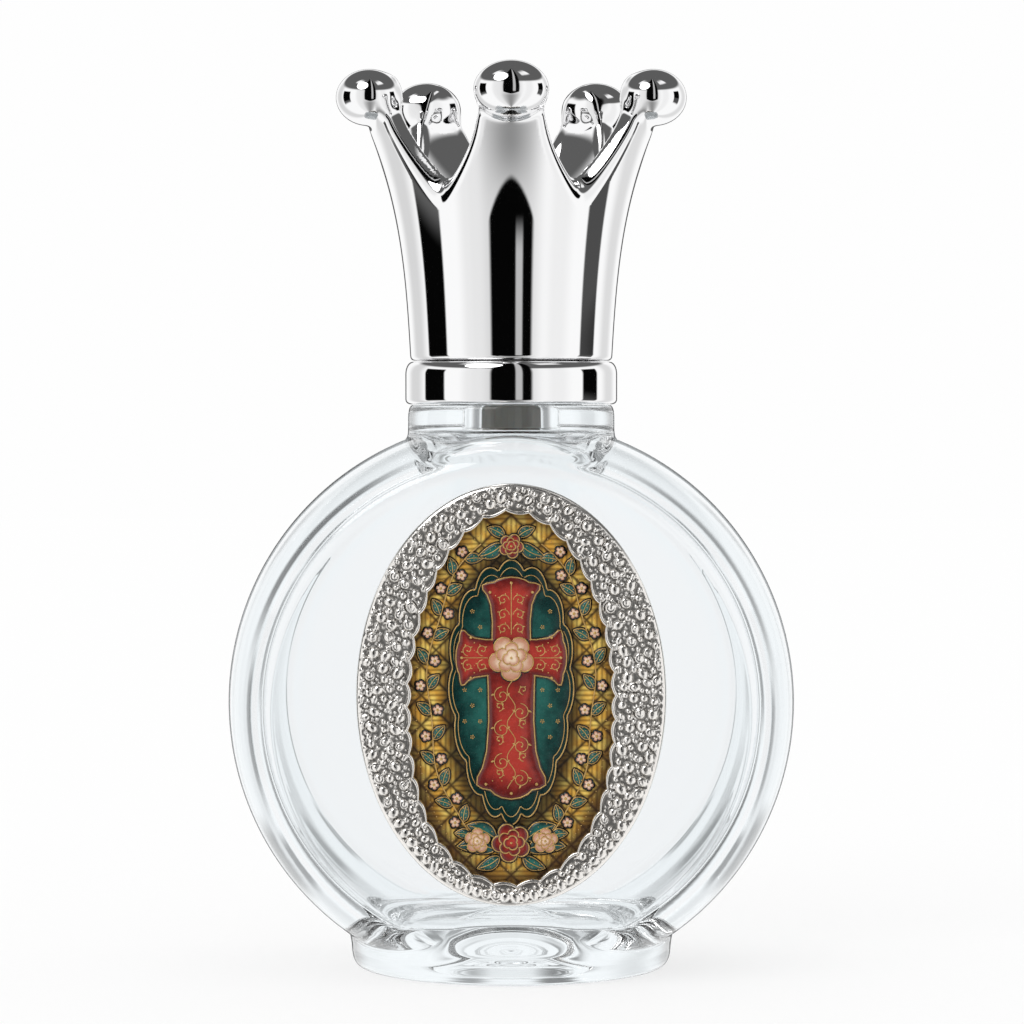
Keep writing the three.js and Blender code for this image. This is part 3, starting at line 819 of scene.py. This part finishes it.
def scatterBeads(outerReach, innerReach, rng):
    # beads of falling size dropped wherever they still fit; each is (across, up, radius, ringed or not)
    inset = plaque["rim"] + plaque["rowBead"]
    row = np.radians(np.arange(*plaque["rowBearings"]))
    placed = [(*spot, plaque["rowBead"] * rng.uniform(0.9, 1.02), False)
              for spot in ovalPoint(row, plaque["halfWide"] - inset, plaque["halfTall"] - inset)]
    lipRoom, rimRoom = plaque["beadRoom"]
    for large, small, tries in plaque["beadSizes"]:
        direction = rng.uniform(0, 2 * np.pi, tries)
        outer, inner = outerReach(direction), innerReach(direction)
        share = rng.uniform(0, 1, tries)
        size = rng.uniform(small, large, tries)
        ringed = (rng.uniform(0, 1, tries) < plaque["ringedShare"]) & (size > plaque["ringedOver"])
        keep = size + np.where(ringed, plaque["ringRoom"], 0.02)
        for i in range(tries):
            away = inner[i] + share[i] * (outer[i] - inner[i])
            if away - inner[i] < keep[i] + lipRoom or outer[i] - away < keep[i] + rimRoom:
                continue
            spot = away * np.array([math.cos(direction[i]), math.sin(direction[i])])
            others = np.array(placed)
            room = others[:, 2] + 0.15 * others[:, 3]
            apart = np.hypot(others[:, 0] - spot[0], others[:, 1] - spot[1])
            if np.all(apart > plaque["beadPacking"] * (room + keep[i])):
                placed.append((*spot, size[i], ringed[i]))
    return placed


def beadRelief(grid, beads, rng):
    # height of the beads over the ground, from 0 to 1
    relief = np.zeros(grid.shape[:2])
    for across, up, radius, ringed in beads:
        near = (np.abs(grid[..., 0] - across) < radius * 1.7) & (np.abs(grid[..., 1] - up) < radius * 1.7)
        x, y = grid[near][:, 0] - across, grid[near][:, 1] - up
        lean, longer = rng.uniform(0, math.pi), rng.uniform(1.0, 1.2)
        along = x * math.cos(lean) + y * math.sin(lean)
        beside = y * math.cos(lean) - x * math.sin(lean)
        distance = np.hypot(along / longer, beside * longer ** 0.5) / radius
        tall = min(1.0, 0.25 + radius * 1.25) * rng.uniform(0.85, 1)
        height = tall * np.sqrt(np.clip(1 - distance ** 2.2, 0, 1))
        curl = rng.uniform(0, 1)
        if radius > plaque["curledOver"] and curl > 1 - plaque["curledShare"]:
            # a curled groove, as on a rosebud
            bearing = np.mod(np.arctan2(beside, along), 2 * np.pi)
            groove = np.exp(-((distance - 0.34 - 0.05 * bearing) / 0.1) ** 2)
            height -= 0.32 * groove * height * (bearing < 4.6)
        if ringed:
            # a raised band that hugs part of the bead
            turn = np.abs(np.mod(np.arctan2(y, x) - lean + np.pi, 2 * np.pi) - np.pi)
            out, half = plaque["ringPlace"]
            apart = (np.hypot(x, y) - radius - out) / half
            hug = 0.5 * np.sqrt(np.clip(1 - apart ** 2, 0, 1)) * np.clip((2.2 - turn) * 2, 0, 1)
            height = np.maximum(height, hug)
        relief[near] = np.maximum(relief[near], height)
    return relief


def castFrame():
    rng = np.random.default_rng(plaque["seed"])
    columns = plaque["columns"]
    outline = openingOutline()
    full = np.linspace(0, 2 * np.pi, 6001)
    oval = ovalPoint(full[:-1], plaque["halfWide"], plaque["halfTall"])
    course = reachOf(outline, full)[:, None] * ovalPoint(full, 1, 1)
    direction = evenly(np.linalg.norm(np.diff(course, axis=0), axis=1), full, columns, closed=True)
    heading = ovalPoint(direction, 1, 1)
    lobe = np.pi * plaque["scallops"] * np.arange(columns) / columns
    outerAt = reachOf(oval, direction)
    innerAt = reachOf(outline, direction) - plaque["scallopDepth"] * np.abs(np.sin(lobe)) ** 0.8
    across = np.linspace(0, 1, plaque["rows"])[:, None]
    reach = outerAt + across * (innerAt - outerAt)
    grid = reach[..., None] * heading
    fromOuter, fromInner = outerAt - reach, reach - innerAt
    beads = scatterBeads(lambda way: reachOf(oval, way), lambda way: reachOf(outline, way) - 0.2, rng)
    inset, size = plaque["scallopBead"]
    for j in range(0, columns, columns // plaque["scallops"]):
        beads.append((*((innerAt[j] + inset) * heading[j]), size, False))
    relief = beadRelief(grid, beads, rng)
    rounding = np.sqrt(1 - (1 - np.clip(fromOuter / plaque["edgeRound"], 0, 1)) ** 2)
    ground = plaque["edge"] + (plaque["hollow"] + plaque["sunk"] - plaque["edge"]) * rounding
    ground = ground - plaque["sunk"] * np.clip((fromOuter - 0.4) / 0.25, 0, 1)
    depth = ground + plaque["dome"] * np.sin(np.pi * across) ** 1.5 + plaque["beadHeight"] * relief
    fromLip = np.abs(fromInner - plaque["lipMiddle"]) / plaque["lipHalf"]
    lip = np.sqrt(1 - (1 - np.clip(1 - fromLip, 0, 1)) ** 2)
    onLip = fromInner < plaque["lipMiddle"] + plaque["lipHalf"]
    depth = np.where(onLip, plaque["lipBase"] + (plaque["lip"] - plaque["lipBase"]) * lip, depth)
    tone = np.where(onLip, 0.1 + 0.9 * lip, relief)
    tone = np.maximum(tone, 0.62 * np.clip((0.5 - fromOuter) / 0.12, 0, 1))

    def ring(place, forward):
        forward = np.broadcast_to(forward, columns)
        return np.column_stack([place[:, 0], -forward, place[:, 1] + plaque["centre"]])

    outer = outerAt[:, None] * heading
    recess = outer * (1 - plaque["wall"] / plaque["halfWide"], 1 - plaque["wall"] / plaque["halfTall"])
    rows = [ring(recess, plaque["back"]), ring(outer, plaque["back"]), ring(outer, plaque["edge"] - 0.5)]
    rows += [ring(*row) for row in zip(grid, depth)]
    rows += [ring(grid[-1], plaque["underside"] + 0.02), ring(recess, plaque["underside"])]
    points = np.concatenate(rows)
    faces = [tuple(v % len(points) for v in face) for face in gridFaces(len(rows) + 1, columns)]
    piece = newPiece("plaqueFrame", points, faces, silverFinish, "bottle", "antique_silver", "plaque_frame")
    giveRelief(piece, [np.full(3 * columns, 0.7), *tone, np.full(2 * columns, 0.2)])
    piece.data.set_sharp_from_angle(angle=math.radians(plaque["sharpOver"]))


castFrame()
print("frame cast")


# Picture: enamel cells and gold wires on a gilt ground. Places are (across, up) from the plaque's middle, and
# heights are in front of the panel
picture = {
    "front": 18.2, "outline": 0.2, "leafRise": 0.26, "wire": 0.075, "fineWire": 0.048,
    "lozenge": 3.1, "hatching": 0.52,
    "paintedLipShadow": (10.4, 19.0, 0), "paintedPanelShade": (6.5, 14.0, 0.4),  # ovals of painted shade, under the frame's lip and round the teal panel: half width, half height, lift
    "panelHalf": (6.3, 13.4), "panelUp": 0.3, "panelLobes": 16, "panelLift": (0.08, 0.1),
    "crossing": (0.0, 3.9), "crossLift": (0.3, 0.24), "crossTop": 0.53,
    # the cross's arms: direction, length, half width
    "arms": ((-math.pi / 2, 14.6, 2.75), (math.pi / 2, 8.3, 2.3), (0, 5.7, 2.2), (math.pi, 5.7, 2.2)),
    # an arm's side, in shares of its length and half width: narrow at its waist, three lobes at its end
    "armSide": (
        (0.0, 0.92), (0.2, 0.86), (0.45, 0.84), (0.66, 0.92), (0.78, 1.08), (0.845, 1.27),
        (0.9, 1.29), (0.925, 1.08), (0.935, 0.78), (0.965, 0.62), (0.99, 0.34), (1.0, 0.0),
    ),
    # rows and columns are a first place, an end and a pitch
    "sprigRows": (-12.4, 13.2, 1.62), "sprigColumns": (-6.4, 6.6, 1.6), "sprigRadius": 0.17,
    "stemHalf": (8.55, 16.6), "stemUp": 0.2, "stemEnd": 68,
    "stemWaves": (0.25, 9),            # their height, and how many go round
    "stemLeaf": (1.75, 0.98, 0.12),    # length, width, bend
    "stemBlossom": (0.52, 0.16),       # radius, lift
    # a rose's flowers: share of its radius, petals, turn, height over the first, rise
    "roseLayers": ((1, 5, 0, 0, 0.2), (0.68, 5, 0.6, 0.16, 0.14), (0.38, 3, 0, 0.26, 0.12)),
    # leaves beside the roses on the right: foot, tip, width, bend
    "sprays": (
        ((1.5, -14.9), (4.6, -13.4), 1.7, 0.25),
        ((1.6, -15.9), (5.6, -15.6), 1.7, 0.3),
        ((1.2, -16.7), (3.5, -17.9), 1.2, -0.2),
        ((0.9, 15.6), (3.4, 14.3), 1.3, -0.25),
        ((0.7, 16.4), (2.4, 17.3), 1.0, 0.1),
    ),
    "scrollRows": (-8.6, 1.5, 1.72), "scrollWave": 1.827,
    "dashes": 160, "dashRing": 0.925,
}


def giltGround():
    # engraved lozenges, hatched in turn, with painted shade that darkens the gilt towards the raised panel
    # and in under the frame's lip
    material, tree = newMaterial("giltGround")
    times, plus, minus = tree.times, tree.plus, tree.minus
    place = tree.node("SeparateXYZ", {0: tree.place()}).outputs
    across = times(place["X"], 1 / mm)
    up = minus(times(place["Z"], 1 / mm), plaque["centre"])
    rising, falling = plus(across, up), minus(across, up)
    pitch, fine = picture["lozenge"], picture["hatching"]

    def groove(value, pitch, sharpness):
        wave = tree.math("COSINE", times(value, 2 * math.pi / pitch))
        return tree.math("POWER", plus(times(wave, 0.5), 0.5), sharpness)

    def fromMiddle(halfWide, halfTall, lift):
        # 1 on that oval, and less inside it
        wide = tree.math("DIVIDE", across, halfWide)
        tall = tree.math("DIVIDE", minus(up, lift), halfTall)
        return plus(times(wide, wide), times(tall, tall))

    lattice = tree.math("MAXIMUM", groove(rising, pitch, 14), groove(falling, pitch, 14))
    rows, columns = (tree.math("SINE", times(way, math.pi / pitch)) for way in (rising, falling))
    turn = tree.smoothStep(times(rows, columns), -0.05, 0.05)
    strokes = {0: turn, 2: groove(across, fine, 1.6), 3: groove(up, fine, 1.6)}
    hatch = tree.node("Mix", strokes, data_type="FLOAT").outputs[0]
    mottle = tree.smoothStep(tree.noise(900.0, 4.0), 0.35, 0.7)
    colour = tree.blend(mottle, (0.78, 0.40, 0.05, 1), (0.98, 0.72, 0.17, 1))
    groovesAndPaintedShade = (
        (hatch, 0.62, (0.11, 0.055, 0.01, 1)),
        (lattice, 0.9, (0.04, 0.02, 0.006, 1)),
        # painted shadow under the frame's lip, and painted shade round the raised panel
        (tree.smoothStep(fromMiddle(*picture["paintedLipShadow"]), 0.78, 1.06), 0.85, (0.045, 0.018, 0.008, 1)),
        (tree.smoothStep(fromMiddle(*picture["paintedPanelShade"]), 1.55, 0.95), 0.9, (0.008, 0.005, 0.003, 1)),
    )
    for where, depth, shade in groovesAndPaintedShade:
        colour = tree.blend(times(where, depth), colour, shade)
    tree.finishAs({
        "Base Color": colour,
        "Metallic": 0.15,
        "Roughness": 0.38,
        "Specular IOR Level": 0.3,
        "Normal": tree.bump(minus(times(hatch, -0.5), lattice), 0.6, 0.08),
    })
    return material


def enamel(name, paintedShadeColour, bright):
    # enamel colour with painted shade at the rims of its cells and a painted highlight over their crowns
    material, tree = newMaterial(name)
    cloud = tree.minus(tree.noise(700.0, 4.0, 0.65), 0.5)
    # from painted shade to painted highlight, by how high a point of the cell stands, clouded at random
    tone = tree.smoothStep(tree.plus(tree.relief(), cloud), 0.05, 1.05)
    tree.finishAs({
        "Base Color": tree.blend(tone, (*paintedShadeColour, 1), (*bright, 1)),
        "Roughness": tree.between(tree.noise(3000.0, 2.0), 0.18, 0.34),
        "Coat Weight": 0.4,
        "Coat Roughness": 0.08,
    })
    return material


def goldWire():
    material, tree = newMaterial("goldWire")
    tree.finishAs({
        "Base Color": tree.blend(tree.noise(1500.0, 3.0), (0.42, 0.22, 0.05, 1), (0.85, 0.6, 0.24, 1)),
        "Metallic": 0.6,
        "Roughness": 0.35,
    })
    return material


cells = {}   # lists of (points, faces, tones), by finish
wires = {"outlineWires": [], "filigree": []}   # lists of (points, closed or not)
beads = []   # (across, up, height, radius)


def onPanel(places, height):
    places = np.atleast_2d(places)
    heights = np.broadcast_to(height, len(places))
    return np.column_stack([places[:, 0], -picture["front"] - heights, places[:, 1] + plaque["centre"]])


def heading(angle):
    return np.array([math.cos(angle), math.sin(angle)])


def leftOf(way):
    return np.array([-way[1], way[0]])


def offsetOutline(outline, reach):
    along = np.roll(outline, -1, axis=0) - np.roll(outline, 1, axis=0)
    normal = np.stack([along[:, 1], -along[:, 0]], axis=1)
    normal /= np.maximum(np.linalg.norm(normal, axis=1), 1e-9)[:, None]
    outward = np.sign(((outline - outline.mean(axis=0)) * normal).sum())
    return outline + normal * outward * reach


def pillow(finish, outline, base, rise, rings=(1, 0.985, 0.93, 0.8, 0.6, 0.35)):
    # a cell domed over its outline, its back sunk a little into the panel
    middle, n = outline.mean(axis=0), len(outline)
    rows = [(1, -0.08)] + [(ring, base + rise * math.sqrt(1 - ring ** 3)) for ring in rings]
    points = [onPanel(middle + ring * (outline - middle), height) for ring, height in rows]
    points.append(onPanel(middle, base + rise))
    tones = np.append(np.repeat([1 - ring ** 2 for ring, _ in rows], n), 1)
    faces = gridFaces(len(rows), n, lastPole=len(rows) * n) + [tuple(range(n - 1, -1, -1))]
    cells.setdefault(finish, []).append((np.concatenate(points), faces, tones))


def wire(kind, places, height, closed=False):
    wires[kind].append((onPanel(places, height), closed))


def cell(finish, outline, base, rise, dark=True, wired=True):
    if dark:
        pillow("darkEnamel", offsetOutline(outline, picture["outline"]), base - 0.02, 0.02, (1,))
    pillow(finish, outline, base, rise)
    if wired:
        wire("outlineWires", outline, base + 0.03, closed=True)


def leafOutline(foot, tip, width, bend=0.0, steps=13):
    foot, tip = np.array(foot, float), np.array(tip, float)
    side = leftOf(tip - foot) / np.linalg.norm(tip - foot)
    share = np.linspace(0, 1, steps)[:, None]
    half = width / 2 * np.sin(np.pi * share ** 0.82) ** 0.85
    spine = foot + share * (tip - foot) + bend * np.sin(np.pi * share) * side
    return np.concatenate([spine + half * side, (spine - half * side)[-2:0:-1]]), spine


def leaf(foot, tip, width, bend):
    # with a gold vein along its ridge and three pairs of gold dots
    outline, spine = leafOutline(foot, tip, width, bend)
    share = np.linspace(-1, 1, len(spine))
    ridge = 0.11 + picture["leafRise"] * np.sqrt(1 - np.abs(share) ** 3)
    cell("tealEnamel", outline, 0.1, picture["leafRise"])
    wire("filigree", spine[1:-1], ridge[1:-1])
    for i in (3, 6, 9):
        along = spine[i + 1] - spine[i]
        side = 0.22 * width * leftOf(along) / np.linalg.norm(along)
        for hand in (1, -1):
            beads.append((*(spine[i] + hand * side), ridge[i] - 0.05, 0.062))


def flowerOutline(centre, radius, petals, turn, notch=0.3):
    angle = np.linspace(0, 2 * np.pi, petals * 8, endpoint=False)
    reach = radius * (1 - notch + notch * np.abs(np.sin(petals * angle / 2)) ** 0.7)
    return centre + reach[:, None] * ovalPoint(angle + turn, 1, 1)


def rose(centre, radius, finish, base, turn):
    # three flowers of falling size, one on the other
    for size, petals, twist, up, rise in picture["roseLayers"]:
        outline = flowerOutline(centre, radius * size, petals, turn + twist)
        cell(finish, outline, base + up, rise, dark=size == 1)
    beads.append((*centre, base + 0.42, 0.13))


def blossom(centre, radius, base, turn):
    cell("creamEnamel", flowerOutline(centre, radius, 5, turn, notch=0.45), base, 0.14, wired=False)
    beads.append((*centre, base + 0.18, 0.16))


def crossArm(direction, length, halfWidth):
    side = np.array(picture["armSide"]) * (length, halfWidth)
    local = np.concatenate([side, side[-2::-1] * (1, -1)])
    forward = heading(direction)
    return picture["crossing"] + local[:, :1] * forward + local[:, 1:] * leftOf(forward)


def panelOutline(reach=1.0):
    # the lobed teal panel behind the cross, wider above than below
    angle = np.linspace(0, 2 * np.pi, 240, endpoint=False)
    lobe = 0.94 + 0.08 * np.abs(np.cos(picture["panelLobes"] / 2 * angle)) ** 0.7
    halfWide, halfTall = picture["panelHalf"]
    oval = ovalPoint(angle, halfWide * (1 + 0.13 * np.sin(angle)) * lobe, halfTall * lobe)
    return reach * oval + (0, picture["panelUp"])


def within(outline, spot):
    # whether a place lies inside an outline
    x, y = (outline - spot).T
    turn = np.diff(np.unwrap(np.arctan2(np.append(y, y[0]), np.append(x, x[0]))))
    return abs(turn.sum()) > 3


def curl(centre, radius, start, hand, height, turns=1.35):
    # a spiral that winds in to a bead, with leaflets on its back
    share = np.linspace(0, 1, 26)
    reach = radius * (1 - 0.8 * share)
    line = centre + reach[:, None] * ovalPoint(start + hand * 2 * np.pi * turns * share, 1, 1)
    wire("filigree", line, height)
    beads.append((*line[-1], height + 0.02, 0.1))
    for i in (4, 9, 14):
        outward = (line[i] - centre) / reach[i]
        tip = line[i] + radius * (0.36 * outward + 0.26 * hand * leftOf(outward))
        pillow("goldLeaf", leafOutline(line[i], tip, radius * 0.22, steps=7)[0], height, 0.05, (1, 0.7, 0.35))


def layCross():
    cell("tealEnamel", panelOutline(), *picture["panelLift"])
    wire("filigree", panelOutline(0.94), 0.17, closed=True)
    shapes = [crossArm(*arm) for arm in picture["arms"]]
    for shape in shapes:
        cell("redEnamel", shape, *picture["crossLift"])
    return shapes


def sowSprigs(shapes):
    # rings of five gold dots round a sixth over the teal, clear of the cross
    inner = panelOutline(0.86)
    margins = [offsetOutline(shape, 0.65) for shape in shapes]
    start, end, pitch = picture["sprigColumns"]
    for i, up in enumerate(np.arange(*picture["sprigRows"])):
        for across in np.arange(start + (i % 2) * pitch / 2, end, pitch):
            spot = np.array([across, up])
            if not within(inner, spot) or any(within(margin, spot) for margin in margins):
                continue
            for turn in range(5):
                petal = spot + picture["sprigRadius"] * heading(turn * 2 * math.pi / 5 + i)
                beads.append((*petal, 0.15, 0.075))
            beads.append((*spot, 0.17, 0.06))


def trainBorder():
    # a stem up each side between the panel and the frame, with leaves and blossoms in turn
    halfWide, halfTall = picture["stemHalf"]
    wave, waves = picture["stemWaves"]
    length, width, bend = picture["stemLeaf"]
    bearing = np.radians(np.linspace(-picture["stemEnd"], picture["stemEnd"], 120))
    for sign in (-1, 1):
        stem = ovalPoint(bearing, sign * (halfWide + wave * np.sin(waves * bearing)), halfTall)
        stem += (0, picture["stemUp"])
        wire("outlineWires", stem, 0.1)
        for n, i in enumerate(range(5, 116, 8)):
            ahead = (stem[i + 3] - stem[i]) / np.linalg.norm(stem[i + 3] - stem[i])
            for hand in (1, -1):
                aside = -sign * hand * leftOf(ahead)
                if (hand == 1) == (n % 2 == 0):
                    tip = stem[i] + length * (0.75 * ahead + 0.72 * aside)
                    leaf(stem[i] + 0.1 * aside, tip, width, bend * hand * sign)
                else:
                    blossom(stem[i] + 0.72 * aside + 0.35 * ahead, *picture["stemBlossom"], n)


def setRoses():
    # roses at the crossing, the foot and the top
    rose(picture["crossing"], 2.35, "creamEnamel", 0.5, 0.3)
    for sign in (-1, 1):
        for foot, tip, width, bend in picture["sprays"]:
            leaf(np.multiply(foot, (sign, 1)), np.multiply(tip, (sign, 1)), width, bend * sign)
        rose((sign * 3.5, -15.0), 1.3, "creamEnamel", 0.34, 0.9)
    rose((0, -15.2), 2.0, "redEnamel", 0.34, 0.1)
    rose((0, 15.4), 1.25, "redEnamel", 0.3, 0.5)


def scrollCross():
    # gold scrolls over the cross, and beads at the ends of its arms
    top = picture["crossTop"]
    low, high, pitch = picture["scrollRows"]
    for i, up in enumerate(np.arange(low, high, pitch)):
        hand = 1 if i % 2 == 0 else -1
        curl((hand * 0.95, up), 0.92, math.pi / 2, -hand, top)
        curl((-hand * 1.25, up + 0.6), 0.5, -math.pi / 2, hand, top - 0.02, 1.0)
    climb = np.arange(low - 1, high + 0.2, 0.25)
    sway = 0.42 * np.sin(picture["scrollWave"] * (climb - low) + 0.6)
    wire("filigree", np.column_stack([sway, climb]), top + 0.01)
    for direction, length, _ in picture["arms"][1:]:
        forward = heading(direction)
        start = picture["crossing"] + 2.4 * forward
        wire("filigree", [start, start + (length - 3.1) * forward], top)
        for reach in np.arange(0.55, length - 3.3, 1.5):
            for hand in (-1, 1):
                spot = start + reach * forward + 0.82 * hand * leftOf(forward)
                curl(spot, 0.62, direction - hand * math.pi / 2, hand, top - 0.02, 1.1)
    for direction, length, half in picture["arms"]:
        forward = heading(direction)
        end = picture["crossing"] + length * forward
        for back, aside in ((0.6, 0), (1.55, 0.95), (1.55, -0.95)):
            beads.append((*(end - back * forward + aside * half * leftOf(forward)), 0.44, 0.17))
        for aside in np.linspace(-0.7, 0.7, 5):
            beads.append((*(end - 1.9 * forward + aside * half * leftOf(forward)), 0.47, 0.075))


def dashRim():
    # dashes of gold between the border and the frame
    outline = openingOutline()
    for spot in outline[::len(outline) // picture["dashes"]] * picture["dashRing"]:
        beads.append((*spot, 0.02, 0.07))


def joinCells(name, finish, material):
    faces, offset = [], 0
    for cellPoints, cellFaces, _ in cells[finish]:
        faces += [tuple(v + offset for v in face) for face in cellFaces]
        offset += len(cellPoints)
    points, _, tones = zip(*cells[finish])
    piece = newPiece(name, np.concatenate(points), faces, material, "bottle", "enamel_picture")
    giveRelief(piece, tones)
    piece.data.validate()


def drawWires(name, radius, material):
    curve = bpy.data.curves.new(name, "CURVE")
    curve.dimensions = "3D"
    curve.bevel_depth = radius * mm
    curve.bevel_resolution = 1
    curve.use_fill_caps = True
    for points, closed in wires[name]:
        spline = curve.splines.new("POLY")
        spline.points.add(len(points) - 1)
        spline.points.foreach_set("co", np.column_stack([points * mm, np.ones(len(points))]).ravel())
        spline.use_cyclic_u = closed
    curve.materials.append(material)
    piece = bpy.data.objects.new(name, curve)
    bpy.context.collection.objects.link(piece)
    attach(piece, "bottle")


def setBeads(name, material, sides=10):
    ring = ovalPoint(np.linspace(0, 2 * np.pi, sides, endpoint=False), 1, 1)
    shape = gridFaces(4, sides, lastPole=4 * sides) + [tuple(range(sides - 1, -1, -1))]
    points, faces = [], []
    for n, (across, up, height, radius) in enumerate(beads):
        rows = ((1, -0.1), (1, 0), (0.87, 0.5 * radius), (0.5, 0.87 * radius))
        points += [onPanel((across, up) + size * radius * ring, height + lift) for size, lift in rows]
        points.append(onPanel((across, up), height + radius))
        faces += [tuple(v + n * (4 * sides + 1) for v in face) for face in shape]
    newPiece(name, np.concatenate(points), faces, material, "bottle", "enamel_picture")


sowSprigs(layCross())
trainBorder()
setRoses()
scrollCross()
dashRim()
gold = goldWire()
dress("picture_panel", giltGround())
# each enamel gets a painted shade colour for its cell rims and a painted highlight colour for its crowns
joinCells("darkOutlines", "darkEnamel", enamel("darkEnamel", (0.008, 0.008, 0.008), (0.02, 0.018, 0.015)))
joinCells("tealLeaves", "tealEnamel", enamel("tealEnamel", (0.0, 0.022, 0.02), (0.018, 0.135, 0.11)))
joinCells("redCross", "redEnamel", enamel("redEnamel", (0.1, 0.004, 0.004), (0.43, 0.035, 0.022)))
joinCells("goldLeaflets", "goldLeaf", gold)
joinCells("creamBlossoms", "creamEnamel", enamel("creamEnamel", (0.5, 0.22, 0.13), (0.86, 0.68, 0.5)))
drawWires("outlineWires", picture["wire"], gold)
drawWires("filigree", picture["fineWire"], gold)
setBeads("goldBeads", gold)
print("picture enamelled")

scene = bpy.context.scene
scene.view_settings.view_transform = "Standard"
scene.cycles.max_bounces = 24  # light goes in and out of the thick glass many times
scene.cycles.glossy_bounces = 16
scene.cycles.transmission_bounces = 20
